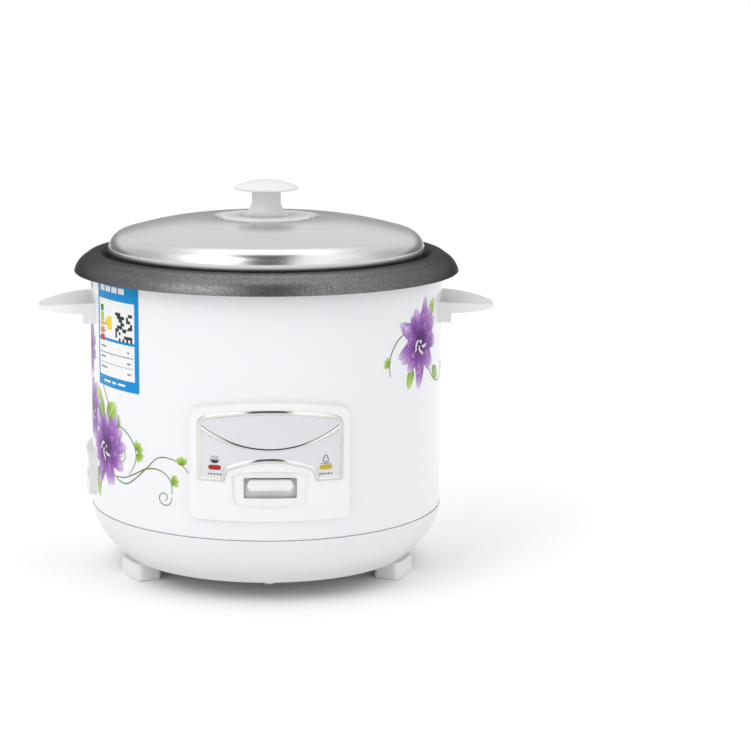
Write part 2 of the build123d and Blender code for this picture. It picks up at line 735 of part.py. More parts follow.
# ----------------------------------------------------------------------- power inlet
with BuildPart() as inlet_bezel:
    with BuildSketch(Plane.YZ.offset(-110)):
        with Locations((0, inlet_height)):
            RectangleRounded(inlet_width, inlet_rise, 4)
            RectangleRounded(socket_width + 0.4, socket_rise + 0.4, 2, mode=Mode.SUBTRACT)
    extrude(amount=20)
    with BuildSketch() as skin:
        Circle(103.8)
        Circle(body_radius, mode=Mode.SUBTRACT)
    extrude(amount=100, mode=Mode.INTERSECT)
    screw_spots = [(-inlet_screw_y, inlet_height), (inlet_screw_y, inlet_height)]
    with BuildSketch(Plane.YZ.offset(-100.2)):
        with Locations(*screw_spots):
            Circle(3.1)
    extrude(amount=-10, mode=Mode.SUBTRACT)
    with BuildSketch(Plane.YZ.offset(-110)):
        with Locations(*screw_spots):
            Circle(1.5)
    extrude(amount=20, mode=Mode.SUBTRACT)
inlet_bezel.part.label = "inlet_bezel"
export_step(inlet_bezel.part, "parts/inlet_bezel.step")

socket_face = -102.6
socket_floor = -87.0
socket_back = -83.0
with BuildPart() as inlet_socket:
    with BuildSketch(Plane.YZ.offset(socket_face)):
        with Locations((0, inlet_height)):
            RectangleRounded(socket_width, socket_rise, 2)
    extrude(amount=socket_back - socket_face)
    with BuildSketch(Plane.YZ.offset(-95.4)):
        with Locations((0, inlet_height)):
            Rectangle(48, socket_rise)
    extrude(amount=2)
    with BuildSketch(Plane.YZ.offset(socket_face)) as mouth:
        with Locations((0, inlet_height)):
            Rectangle(24.2, 15.6)
        chamfer(mouth.vertices().group_by(Axis.Y)[-1], 4)
    extrude(amount=socket_floor - socket_face, mode=Mode.SUBTRACT)
    with BuildSketch(Plane.YZ.offset(-110)):
        with Locations(*screw_spots):
            Circle(1.5)
    extrude(amount=20, mode=Mode.SUBTRACT)
    pin_spots = [(-7, inlet_height - 2), (7, inlet_height - 2), (0, inlet_height + 2)]
    with BuildSketch(Plane.YZ.offset(socket_floor)):
        with Locations(*pin_spots):
            Rectangle(2, 4)
    extrude(amount=10, mode=Mode.SUBTRACT)
inlet_socket.part.label = "inlet_socket"
export_step(inlet_socket.part, "parts/inlet_socket.step")

with BuildPart() as inlet_pins:
    with BuildSketch(Plane.YZ.offset(-98.6)):
        with Locations(*pin_spots):
            Rectangle(2, 4)
    extrude(amount=20.6)
    fillet(inlet_pins.faces().sort_by(Axis.X)[:3].edges(), 0.5)
inlet_pins.part.label = "inlet_pins"
export_step(inlet_pins.part, "parts/inlet_pins.step")

with BuildPart() as inlet_screws:
    heads = [Plane(origin=(-100.2, y, z), z_dir=(-1, 0, 0)) for y, z in screw_spots]
    with Locations(*heads):
        add(screw(2.9, 1.8, 1.5, 9))
inlet_screws.part.label = "inlet_screws"
export_step(inlet_screws.part, "parts/inlet_screws.step")

# --------------------------------------------------------------------------- handles
# Thin wing-shaped side handles, each with a deeper bracket against the shell.
for place, side in (("left", -1), ("right", 1)):
    with BuildPart() as handle:
        with BuildSketch(Plane.XZ.offset(-handle_width / 2)):
            with BuildLine():
                upper = ThreePointArc((90, handle_top), (112, 154.5), (128.0, 151.9))
                tip = ThreePointArc(upper @ 1, (handle_reach, 150.6), (128.2, 149.7))
                under = Line(tip @ 1, (bracket_reach, handle_underside))
                bracket = Line(under @ 1, (bracket_reach, bracket_bottom))
                Polyline(bracket @ 1, (90, bracket_bottom), upper @ 0)
            make_face()
        extrude(amount=handle_width)
        with BuildSketch(Plane.XY.offset(bracket_bottom)):
            with BuildLine():
                half = handle_width / 2
                edge = ThreePointArc((104, -half), (handle_reach, 0), (104, half))
                Polyline(edge @ 1, (90, half), (90, -half), edge @ 0)
            make_face()
        extrude(amount=30, mode=Mode.INTERSECT)
        Cylinder(body_radius, 400, mode=Mode.SUBTRACT)
        with BuildSketch(Plane.YZ.offset(90)):
            with Locations((-handle_screw_y, handle_screw_z), (handle_screw_y, handle_screw_z)):
                Circle(handle_screw_radius)
        extrude(amount=handle_screw_end - 90, mode=Mode.SUBTRACT)
        if side < 0:
            mirror(about=Plane.YZ, mode=Mode.REPLACE)
    handle.part.label = f"{place}_handle"
    export_step(handle.part, f"parts/{place}_handle.step")

handle_screw_seat = 97.5
with BuildPart() as handle_screws:
    seats = [
        Plane(origin=(side * handle_screw_seat, y, handle_screw_z), z_dir=(-side, 0, 0))
        for side in (-1, 1)
        for y in (-handle_screw_y, handle_screw_y)
    ]
    with Locations(*seats):
        add(screw(3.0, 1.8, handle_screw_radius, handle_screw_end - handle_screw_seat))
handle_screws.part.label = "handle_screws"
export_step(handle_screws.part, "parts/handle_screws.step")

# ------------------------------------------------------------------------- inner pot
# Deep-drawn pot: flat bottom, rounded corner, slightly tapered wall, a ledge for the
# lid and a wide curled flange that overhangs the shell.
with BuildPart() as inner_pot:
    with BuildSketch(Plane.XZ):
        with BuildLine():
            base = Line((0, pot_bottom), (52, pot_bottom))
            corner = ThreePointArc(base @ 1, (75.2, 89.6), (84.6, 112.0))
            wall = Line(corner @ 1, (pot_radius, 170.5))
            ledge = ThreePointArc(wall @ 1, (87.4, 173.9), (90.4, 176.1))
            flare = Line(ledge @ 1, (94.6, 180.0))
            crown = ThreePointArc(flare @ 1, (96.9, 180.5), (101.6, 178.4))
            curl = ThreePointArc(crown @ 1, (105.8, 174.9), (107.6, 171.0))
            offset(amount=pot_wall, side=Side.LEFT)
        make_face()
    revolve(axis=Axis.Z)
inner_pot.part.label = "inner_pot"
export_step(inner_pot.part, "parts/inner_pot.step")

# ------------------------------------------------------------------------------- lid
# Domed steel lid: a flat dish for the knob, a ridge round it, a dome, a short skirt
# and a tucked-in rim that stands on the pot's ledge.
knob_hole = 2.4
with BuildPart() as lid_shell:
    with BuildSketch(Plane.XZ):
        with BuildLine():
            dish = Line((knob_hole, lid_seat_height), (26.8, lid_seat_height))
            rise = ThreePointArc(dish @ 1, (28.8, 200.7), (32.0, 201.2))
            dome = ThreePointArc(rise @ 1, (58.0, 198.7), (80.0, 193.6))
            brow = ThreePointArc(dome @ 1, (86.5, 190.3), (lid_radius, 185.0))
            skirt = Line(brow @ 1, (lid_radius, 182.6))
            tuck = ThreePointArc(skirt @ 1, (88.9, 181.2), (87.4, 180.4))
            Line(tuck @ 1, (87.0, 177.2))
            offset(amount=sheet, side=Side.RIGHT)
        make_face()
    revolve(axis=Axis.Z)
    with BuildSketch(Plane.XY.offset(150)):
        with Locations((0, 55)):
            Circle(2)
    extrude(amount=60, mode=Mode.SUBTRACT)
lid_shell.part.label = "lid_shell"
export_step(lid_shell.part, "parts/lid_shell.step")

# Knob: a round base on the lid's dish, and a knob with a flared foot, a straight
# stem and a domed cap on top of it.
knob_base_top = 201.7
with BuildPart() as knob_base:
    with BuildSketch(Plane.XZ):
        with BuildLine():
            seat = Line((knob_hole, lid_seat_height), (25.0, lid_seat_height))
            edge = Polyline(seat @ 1, (25.7, 200.6), (24.9, knob_base_top))
            Polyline(edge @ 1, (knob_hole, knob_base_top), seat @ 0)
        make_face()
    revolve(axis=Axis.Z)
knob_base.part.label = "knob_base"
export_step(knob_base.part, "parts/knob_base.step")

knob_top = 221.8
stem_radius = 8.25
crown_edge = 17.6
crown_rise = 3.8
crown_radius = (crown_edge**2 + crown_rise**2) / (2 * crown_rise)
crown_half_angle = degrees(asin(crown_edge / crown_radius))
with BuildPart() as lid_knob:
    with BuildSketch(Plane.XZ):
        with BuildLine():
            foot_edge = Line((knob_hole, knob_base_top), (15.0, knob_base_top))
            flare = ThreePointArc(foot_edge @ 1, (10.2, 204.6), (stem_radius, 208.4))
            stem = Line(flare @ 1, (stem_radius, 215.6))
            cap_under = Line(stem @ 1, (17.2, 216.1))
            crown_start = 90 - crown_half_angle
            centre = (0, knob_top - crown_radius)
            cap_over = CenterArc(centre, crown_radius, crown_start, crown_half_angle)
            ThreePointArc(cap_under @ 1, (18.2, 217.1), cap_over @ 0)
            Polyline(cap_over @ 1, (0, 212.0), (knob_hole, 212.0), foot_edge @ 0)
        make_face()
    revolve(axis=Axis.Z)
lid_knob.part.label = "lid_knob"
export_step(lid_knob.part, "parts/lid_knob.step")

with BuildPart() as knob_washer:
    with BuildSketch(Plane.XY.offset(lid_seat_height - sheet)):
        Circle(7)
        Circle(knob_hole, mode=Mode.SUBTRACT)
    extrude(amount=-1)
knob_washer.part.label = "knob_washer"
export_step(knob_washer.part, "parts/knob_washer.step")

with BuildPart() as knob_screw:
    with Locations(facing_down(0, 0, lid_seat_height - sheet - 1)):
        add(screw(4.6, 2.6, knob_hole, 14))
knob_screw.part.label = "knob_screw"
export_step(knob_screw.part, "parts/knob_screw.step")

# --------------------------------------------------------------------- internal leads
lead_radius = 1.3
lead_bend = 3.5
pin_side_height = 56.5
pin_side = end_x + 1.5
terminal_height = 28.0
terminal_left = switch_x - 0.4
terminal_right = switch_x + 0.4
lamp_bottom = lens_height - lamp_height / 2
lamp_spot = radial_plane(lens_angle, 95.6, lamp_bottom).origin


def lead(*points):
    """Sleeved lead: straight runs joined by arcs."""
    with BuildPart() as piece:
        with BuildLine() as route:
            FilletPolyline(*points, radius=lead_bend)
        with BuildSketch(Plane(origin=route.line @ 0, z_dir=route.line % 0)):
            Circle(lead_radius)
        sweep()
    return piece.part


# From the inlet's live pin to the thermal fuse, and on to one end of the element.
with BuildPart() as live_lead:
    fuse_z = element_height - fuse_radius
    add(
        lead(
            (-78, 7, inlet_height - 2),
            (-69, 7, inlet_height - 2),
            (-60, 4, 50),
            (-46, -6, 49),
            (-33, -16, 58),
            (fuse_x, -12, fuse_z),
            (fuse_x, 2, fuse_z),
        )
    )
    add(
        lead(
            (fuse_x, 20, fuse_z),
            (fuse_x, 24.5, fuse_z),
            (-35, end_y, pin_side_height),
            (-pin_side, end_y, pin_side_height),
        )
    )
live_lead.part.label = "live_lead"
export_step(live_lead.part, "parts/live_lead.step")

# From the inlet's neutral pin to the micro switch.
with BuildPart() as neutral_lead:
    add(
        lead(
            (-78, -7, inlet_height - 2),
            (-69, -7, inlet_height - 2),
            (-60, -18, 44),
            (-46, -44, 32),
            (-28, -72, terminal_height),
            (-12, -83, terminal_height),
            (terminal_left, -83, terminal_height),
        )
    )
neutral_lead.part.label = "neutral_lead"
export_step(neutral_lead.part, "parts/neutral_lead.step")

# From the micro switch to the other end of the element.
with BuildPart() as switch_lead:
    add(
        lead(
            (terminal_right, -65, terminal_height),
            (16, -65, terminal_height),
            (30, -42, 30),
            (38, -6, 40),
            (38, 24, 48),
            (36, end_y, pin_side_height),
            (pin_side, end_y, pin_side_height),
        )
    )
switch_lead.part.label = "switch_lead"
export_step(switch_lead.part, "parts/switch_lead.step")

# From the inlet's earth pin to the well's floor.
with BuildPart() as earth_lead:
    add(
        lead(
            (-78, 0, inlet_height + 2),
            (-69, 0, inlet_height + 2),
            (-60, 12, 52),
            (-57, 24, 55),
            (-57, 24, liner_floor - sheet),
        )
    )
earth_lead.part.label = "earth_lead"
export_step(earth_lead.part, "parts/earth_lead.step")

# From each lamp down between the shell and the well to the micro switch.
with BuildPart() as lamp_leads:
    for side, terminal in ((-1, terminal_left), (1, terminal_right)):
        add(
            lead(
                (side * lamp_spot.X, lamp_spot.Y, lamp_bottom),
                (side * lamp_spot.X, lamp_spot.Y, 58),
                (side * 24, -84, 38),
                (side * 14, -74, terminal_height),
                (terminal, -74, terminal_height),
            )
        )
lamp_leads.part.label = "lamp_leads"
export_step(lamp_leads.part, "parts/lamp_leads.step")
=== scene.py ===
import json
import math

import bmesh
import bpy
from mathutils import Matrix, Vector
from mathutils.bvhtree import BVHTree


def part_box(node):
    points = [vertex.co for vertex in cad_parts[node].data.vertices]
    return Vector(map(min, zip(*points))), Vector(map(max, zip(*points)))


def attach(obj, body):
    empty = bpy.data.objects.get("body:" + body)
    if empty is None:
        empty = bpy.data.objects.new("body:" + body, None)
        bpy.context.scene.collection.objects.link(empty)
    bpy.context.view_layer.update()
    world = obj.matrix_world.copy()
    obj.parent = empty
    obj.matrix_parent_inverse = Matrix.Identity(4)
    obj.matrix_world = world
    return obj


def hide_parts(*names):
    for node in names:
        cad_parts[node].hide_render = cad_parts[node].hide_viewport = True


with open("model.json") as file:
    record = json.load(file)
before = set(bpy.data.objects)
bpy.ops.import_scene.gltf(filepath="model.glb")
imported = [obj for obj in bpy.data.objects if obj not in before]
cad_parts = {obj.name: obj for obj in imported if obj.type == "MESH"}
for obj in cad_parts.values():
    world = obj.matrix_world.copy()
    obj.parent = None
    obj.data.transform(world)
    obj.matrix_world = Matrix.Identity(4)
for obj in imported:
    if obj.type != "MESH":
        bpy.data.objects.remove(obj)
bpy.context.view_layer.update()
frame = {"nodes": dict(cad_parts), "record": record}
nodes = frame["nodes"]
MM = 0.001

# ------------------------------------------------------------------------ places
# Lengths below are millimetres, and angles run from the front towards +X.
SHELL_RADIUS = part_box("outer_shell")[1].x / MM
INLAY_RADIUS = -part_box("panel_inlay")[0].y / MM
FLARE_HEIGHT = 170.5  # where the pot's wall turns out into its flange


# ---------------------------------------------------------------------- materials
def new_material(name, **inputs):
    """Principled material; keyword names are socket names with _ for a space."""
    material = bpy.data.materials.new(name)
    material.use_nodes = True
    shader = material.node_tree.nodes["Principled BSDF"]
    for key, value in inputs.items():
        socket = shader.inputs[key.replace("_", " ")]
        if isinstance(value, tuple) and len(value) == 3 and socket.type == "RGBA":
            value = (*value, 1.0)
        socket.default_value = value
    return material


def add_node(material, kind, links=(), **settings):
    """New node with its settings; links are (own input, other node, its output)."""
    node = material.node_tree.nodes.new(kind)
    for key, value in settings.items():
        if key in node.inputs:
            node.inputs[key].default_value = value
        else:
            setattr(node, key, value)
    for own, other, output in links:
        material.node_tree.links.new(other.outputs[output], node.inputs[own])
    return node


def link(material, source, output, target, name):
    material.node_tree.links.new(source.outputs[output], target.inputs[name])


def shader_of(material):
    return material.node_tree.nodes["Principled BSDF"]


def object_coordinates(material, scale=(1, 1, 1)):
    coords = add_node(material, "ShaderNodeTexCoord")
    mapping = add_node(material, "ShaderNodeMapping", [("Vector", coords, "Object")])
    mapping.inputs["Scale"].default_value = scale
    return mapping


def noise_over(material, scale, detail=4.0, stretch=(1, 1, 1)):
    place = object_coordinates(material, stretch)
    noise = add_node(material, "ShaderNodeTexNoise", [("Vector", place, "Vector")])
    noise.inputs["Scale"].default_value = scale
    noise.inputs["Detail"].default_value = detail
    return noise


def spread(material, source, output, low, high, start=0.3, end=0.7):
    """Values between start and end stretched to low..high."""
    node = add_node(material, "ShaderNodeMapRange", [("Value", source, output)])
    node.inputs["From Min"].default_value = start
    node.inputs["From Max"].default_value = end
    node.inputs["To Min"].default_value = low
    node.inputs["To Max"].default_value = high
    return node


def vary_roughness(material, noise, low, high):
    """Roughness from low to high. Ranges across about 0.274 came out as sharp-edged
    patches on the white plastics, so every range here stays on one side of it. The
    denoiser's split between gloss and diffuse light is the suspected cause, untested."""
    node = spread(material, noise, "Fac", low, high)
    link(material, node, "Result", shader_of(material), "Roughness")


def ramp(material, source, output, *stops):
    """Colour ramp from (position, colour) stops."""
    node = add_node(material, "ShaderNodeValToRGB", [("Fac", source, output)])
    elements = node.color_ramp.elements
    while len(elements) < len(stops):
        elements.new(0.5)
    for element, (position, colour) in zip(elements, stops):
        element.position = position
        element.color = (*colour, 1)
    return node


def vary_colour(material, noise, low, high, output="Fac"):
    node = ramp(material, noise, output, (0.3, low), (0.7, high))
    link(material, node, "Color", shader_of(material), "Base Color")
    return node


def bump(material, source, output, strength, distance):
    node = add_node(material, "ShaderNodeBump", [("Height", source, output)])
    node.inputs["Strength"].default_value = strength
    node.inputs["Distance"].default_value = distance
    link(material, node, "Normal", shader_of(material), "Normal")
    return node


def tinted(colour, amount):
    return tuple(min(1.0, channel * amount) for channel in colour)


def plastic(name, colour, low, high, grain=500, relief=0.03, **inputs):
    """Moulded plastic: a fine skin texture and faint shade changes."""
    material = new_material(name, **inputs)
    skin = noise_over(material, grain, 2)
    vary_roughness(material, skin, low, high)
    bump(material, skin, "Fac", relief, 0.0001)
    cloud = noise_over(material, 14, 2)
    vary_colour(material, cloud, tinted(colour, 0.985), tinted(colour, 1.01))
    return material


def metal(name, colour, low, high, grain=400, stretch=(1, 1, 1), relief=0.05, **inputs):
    """Bare or plated metal with mottled shade and roughness."""
    material = new_material(name, Metallic=1.0, **inputs)
    mottle = noise_over(material, grain, 5, stretch)
    vary_roughness(material, mottle, low, high)
    vary_colour(material, mottle, tinted(colour, 0.88), tinted(colour, 1.08))
    bump(material, mottle, "Fac", relief, 0.0001)
    return material


def radius_noise(material, scale, detail):
    """Noise that changes only with the distance from the Z axis: turned lines."""
    coords = add_node(material, "ShaderNodeTexCoord")
    flat = add_node(material, "ShaderNodeVectorMath", [(0, coords, "Object")], operation="MULTIPLY")
    flat.inputs[1].default_value = (1, 1, 0)
    length = add_node(material, "ShaderNodeVectorMath", [(0, flat, "Vector")], operation="LENGTH")
    place = add_node(material, "ShaderNodeCombineXYZ", [("X", length, "Value")])
    noise = add_node(material, "ShaderNodeTexNoise", [("Vector", place, "Vector")])
    noise.inputs["Scale"].default_value = scale
    noise.inputs["Detail"].default_value = detail
    return noise


white_enamel = new_material("white_enamel", Coat_Weight=0.6, Coat_Roughness=0.04)
peel = noise_over(white_enamel, 260, 2)
vary_roughness(white_enamel, peel, 0.16, 0.22)
bump(white_enamel, peel, "Fac", 0.05, 0.0002)
cloud = noise_over(white_enamel, 9, 2)
vary_colour(white_enamel, cloud, (0.765, 0.778, 0.800), (0.778, 0.790, 0.810))

white_moulding = plastic("white_moulding", (0.755, 0.76, 0.765), 0.29, 0.35)
panel_plastic = plastic("panel_plastic", (0.80, 0.80, 0.795), 0.29, 0.35)
black_plastic = plastic("black_plastic", (0.022, 0.022, 0.023), 0.40, 0.55, grain=700, relief=0.1)
knob_plastic = plastic(
    "knob_plastic",
    (0.70, 0.71, 0.71),
    0.29,
    0.34,
    Subsurface_Weight=0.6,
    Subsurface_Radius=(1.0, 1.0, 1.0),
    Subsurface_Scale=0.008,
)
red_lens = plastic("red_lens", (0.36, 0.010, 0.006), 0.12, 0.20, Specular_IOR_Level=0.3)
amber_lens = plastic("amber_lens", (0.50, 0.38, 0.012), 0.12, 0.20, Specular_IOR_Level=0.3)
sleeving = plastic("sleeving", (0.42, 0.18, 0.10), 0.6, 0.8, grain=2200, relief=0.5)
ferrite = plastic("ferrite", (0.055, 0.055, 0.06), 0.5, 0.7, grain=1500, relief=0.3)
lamp_glass = plastic("lamp_glass", (0.96, 0.86, 0.80), 0.02, 0.06, Transmission_Weight=0.9)

zinc = metal("zinc", (0.62, 0.63, 0.65), 0.285, 0.40, grain=180)
aluminium = metal("aluminium", (0.72, 0.73, 0.745), 0.30, 0.42, grain=60, stretch=(1, 1, 6))
brass = metal("brass", (0.74, 0.58, 0.30), 0.18, 0.26)
sheath = metal("sheath", (0.17, 0.155, 0.14), 0.40, 0.60)
chrome = metal("chrome", (0.66, 0.655, 0.635), 0.05, 0.09, grain=30, relief=0.0)

inlay = new_material("silver_inlay", Metallic=0.25)
grain = noise_over(inlay, 1600, 2)
vary_roughness(inlay, grain, 0.28, 0.40)
vary_colour(inlay, grain, (0.63, 0.64, 0.67), (0.68, 0.69, 0.715))

stainless = new_material("stainless", Metallic=1.0, Anisotropic=0.55)
turned = radius_noise(stainless, 2600, 4)
vary_roughness(stainless, turned, 0.17, 0.27)
vary_colour(stainless, turned, (0.60, 0.60, 0.605), (0.675, 0.675, 0.68))
bump(stainless, turned, "Fac", 0.03, 0.00005)
tangent = add_node(stainless, "ShaderNodeTangent", direction_type="RADIAL", axis="Z")
link(stainless, tangent, "Tangent", shader_of(stainless), "Tangent")

pot_coating = new_material("pot_coating", Metallic=0.9, Specular_Tint=(0.22, 0.22, 0.22))
flakes = noise_over(pot_coating, 2600, 0)
vary_colour(pot_coating, flakes, (0.070, 0.070, 0.071), (0.240, 0.239, 0.240))
vary_roughness(pot_coating, flakes, 0.42, 0.285)
bump(pot_coating, flakes, "Fac", 0.12, 0.0001)

pot_aluminium = new_material("pot_aluminium", Metallic=1.0, Anisotropic=0.4)
turned = noise_over(pot_aluminium, 12, 5, stretch=(1, 1, 90))
vary_roughness(pot_aluminium, turned, 0.285, 0.38)
vary_colour(pot_aluminium, turned, (0.66, 0.665, 0.67), (0.74, 0.745, 0.75))
bump(pot_aluminium, turned, "Fac", 0.06, 0.0001)
tangent = add_node(pot_aluminium, "ShaderNodeTangent", direction_type="RADIAL", axis="Z")
link(pot_aluminium, tangent, "Tangent", shader_of(pot_aluminium), "Tangent")

SLOT_MATERIALS = {
    "white_moulding": white_moulding,
    "white_enamel": white_enamel,
    "galvanised_sheet": zinc,
    "bare_aluminium": aluminium,
    "pot_coating": pot_coating,
    "stainless": stainless,
    "chrome_trim": chrome,
    "silver_inlay": inlay,
    "panel_plastic": panel_plastic,
    "knob_plastic": knob_plastic,
    "red_lens": red_lens,
    "amber_lens": amber_lens,
    "lamp_glass": lamp_glass,
    "black_moulding": black_plastic,
    "brass_contact": brass,
    "zinc_steel": zinc,
    "spring_steel": zinc,
    "ferrite": ferrite,
    "element_sheath": sheath,
    "lead_silicone": sleeving,
}
for part in frame["record"]["subparts"]:
    node = nodes[part["node"]]
    node.data.materials.clear()
    node.data.materials.append(SLOT_MATERIALS[part["material_slot"]])

# The pot is coated inside and over its flange, and bare outside under the flange.
pot = nodes["inner_pot"]
pot.data.materials.append(pot_aluminium)
for face in pot.data.polygons:
    outward = face.center.x * face.normal.x + face.center.y * face.normal.y
    outside = outward > 0 or face.normal.z < -0.9
    face.material_index = 1 if outside and face.center.z < FLARE_HEIGHT * MM else 0


# ------------------------------------------------------------------- printed ink
def ink(name, colour, roughness=0.36):
    """Plain printing ink with slightly uneven cover."""
    material = new_material(name, Specular_IOR_Level=0.12)
    uneven = noise_over(material, 500, 3)
    vary_roughness(material, uneven, roughness * 0.85, roughness * 1.15)
    vary_colour(material, uneven, tinted(colour, 0.94), tinted(colour, 1.05))
    return material


def shaded_ink(name, *stops, streak=0.10, across=26):
    """Petal or leaf ink: a ramp from base to tip, streaked along its length."""
    material = new_material(name, Roughness=0.28, Specular_IOR_Level=0.12)
    coords = add_node(material, "ShaderNodeTexCoord")
    mapping = add_node(material, "ShaderNodeMapping", [("Vector", coords, "UV")])
    mapping.inputs["Scale"].default_value = (across, 2.0, 1)
    streaks = add_node(material, "ShaderNodeTexNoise", [("Vector", mapping, "Vector")])
    streaks.inputs["Scale"].default_value = 1.0
    streaks.inputs["Detail"].default_value = 3
    shift = spread(material, streaks, "Fac", -streak, streak)
    along = add_node(material, "ShaderNodeSeparateXYZ", [("Vector", coords, "UV")])
    total = add_node(material, "ShaderNodeMath", [(0, along, "Y"), (1, shift, "Result")], operation="ADD")
    shade = ramp(material, total, "Value", *stops)
    link(material, shade, "Color", shader_of(material), "Base Color")
    return material


petal_outer = shaded_ink(
    "petal_outer",
    (0.0, (0.07, 0.015, 0.13)),
    (0.4, (0.17, 0.05, 0.28)),
    (0.75, (0.36, 0.17, 0.48)),
    (1.0, (0.66, 0.52, 0.74)),
)
petal_middle = shaded_ink(
    "petal_middle",
    (0.0, (0.05, 0.01, 0.09)),
    (0.5, (0.13, 0.03, 0.22)),
    (0.85, (0.28, 0.10, 0.40)),
    (1.0, (0.52, 0.32, 0.62)),
)
petal_inner = shaded_ink(
    "petal_inner",
    (0.0, (0.03, 0.005, 0.06)),
    (0.6, (0.10, 0.02, 0.18)),
    (1.0, (0.27, 0.10, 0.38)),
)
stamen_ink = ink("stamen_ink", (0.78, 0.70, 0.80))
leaf_ink = shaded_ink(
    "leaf_ink",
    (0.0, (0.13, 0.24, 0.03)),
    (0.45, (0.27, 0.45, 0.07)),
    (0.8, (0.40, 0.57, 0.14)),
    (1.0, (0.58, 0.70, 0.34)),
    across=14,
)
leaf_vein = ink("leaf_vein", (0.62, 0.74, 0.40))
vine_ink = ink("vine_ink", (0.15, 0.20, 0.045))
FLOWER_INKS = [petal_outer, petal_middle, petal_inner, stamen_ink, leaf_ink, leaf_vein, vine_ink]
OUTER, MIDDLE, INNER, STAMEN, LEAF, VEIN, VINE = range(len(FLOWER_INKS))


class Print:
    """Artwork wrapped round a vertical wall and gathered into one mesh. Places on it
    are (u, z): u along the wall from the front and z above the table."""

    def __init__(self, radius):
        self.radius = radius if callable(radius) else lambda z: radius
        self.turn = 1.0 / self.radius(120.0)
        self.mesh = bmesh.new()
        self.uv = self.mesh.loops.layers.uv.new("UVMap")

    def place(self, u, z, lift):
        angle = u * self.turn
        radius = self.radius(z) + lift
        return Vector((radius * math.sin(angle), -radius * math.cos(angle), z)) * MM

    def sheet(self, rows, index):
        """Faces between rows of (u, z, lift, s, t) points."""
        made = [[self.mesh.verts.new(self.place(*point[:3])) for point in row] for row in rows]
        for i in range(len(rows) - 1):
            for j in range(len(rows[i]) - 1):
                corners = ((i, j), (i, j + 1), (i + 1, j + 1), (i + 1, j))
                face = self.mesh.faces.new([made[a][b] for a, b in corners])
                face.material_index = index
                face.smooth = True
                for loop, (a, b) in zip(face.loops, corners):
                    loop[self.uv].uv = rows[a][b][3:5]

    def block(self, low, high, index, lift):
        """Rectangle between two (u, z) corners."""
        steps = max(1, round((high[0] - low[0]) / 2.5))
        rows = []
        for i in range(steps + 1):
            s = i / steps
            u = low[0] + (high[0] - low[0]) * s
            rows.append([(u, low[1], lift, s, 0.0), (u, high[1], lift, s, 1.0)])
        self.sheet(rows, index)

    def ribbon(self, points, width, index, lift, crown=0.0, taper=False):
        """Line of a width along (u, z) points, raised in its middle by the crown."""
        rows = []
        last = len(points) - 1
        for i, (u, z) in enumerate(points):
            before, after = points[max(i - 1, 0)], points[min(i + 1, last)]
            along = Vector((after[0] - before[0], after[1] - before[1])).normalized()
            t = i / last
            half = width / 2
            if taper:
                half *= 0.35 + 0.65 * math.sin(math.pi * min(1.0, t * 1.6 + 0.2) / 2)
                half *= 1.0 - 0.55 * t
            row = []
            for s in (-1.0, 0.0, 1.0):
                rise = lift + (crown if s == 0 else 0.0)
                row.append((u - along.y * half * s, z + along.x * half * s, rise, (s + 1) / 2, t))
            rows.append(row)
        self.sheet(rows, index)

    def petal(self, base, angle, length, width, index, lift, bend=0.0, point=0.55):
        """Petal or leaf from its base, turned by bend (radians) along its length."""
        rows = []
        u, z = base
        steps = 12
        for i in range(steps + 1):
            t = i / steps
            heading = angle + bend * t
            if i:
                u += math.cos(heading) * length / steps
                z += math.sin(heading) * length / steps
            half = width / 2 * max(0.0, math.sin(math.pi * t**0.8)) ** point
            half *= 1 + 0.06 * math.sin(9 * t + angle * 3)
            row = []
            for k in range(7):
                s = k / 3 - 1
                side = half * s
                row.append((u - math.sin(heading) * side, z + math.cos(heading) * side, lift, k / 6, t))
            rows.append(row)
        self.sheet(rows, index)

    def finish(self, name, body, materials):
        for face in self.mesh.faces:
            face.normal_update()
        inward = [f for f in self.mesh.faces if f.normal.xy.dot(f.calc_center_median().xy) < 0]
        bmesh.ops.reverse_faces(self.mesh, faces=inward)
        data = bpy.data.meshes.new(name)
        self.mesh.to_mesh(data)
        self.mesh.free()
        piece = bpy.data.objects.new(name, data)
        for material in materials:
            data.materials.append(material)
        bpy.context.scene.collection.objects.link(piece)
        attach(piece, body)
        return piece


def curve_through(points, steps=10):
    """Smooth line through (u, z) points."""
    line = []
    for i in range(len(points) - 1):
        a = Vector(points[max(i - 1, 0)])
        b, c = Vector(points[i]), Vector(points[i + 1])
        d = Vector(points[min(i + 2, len(points) - 1)])
        for k in range(steps):
            t = k / steps
            spot = b * 2 + (c - a) * t + (a * 2 - b * 5 + c * 4 - d) * t**2 + (b * 3 - a - c * 3 + d) * t**3
            line.append(tuple(spot / 2))
    return line + [tuple(points[-1])]


def curl(centre, start, end, turns, heading, steps=44):
    """Spiral of (u, z) points from radius start to radius end."""
    line = []
    for i in range(steps + 1):
        t = i / steps
        angle = heading + turns * 2 * math.pi * t
        radius = start + (end - start) * t
        line.append((centre[0] + radius * math.cos(angle), centre[1] + radius * math.sin(angle)))
    return line


# ------------------------------------------------------------------ flower pattern
# A spray of many-petalled flowers with leaves, buds and curling vines. It is printed
# twice, on opposite sides of the shell.
def arc(degrees_from_front):
    return math.radians(degrees_from_front) * SHELL_RADIUS


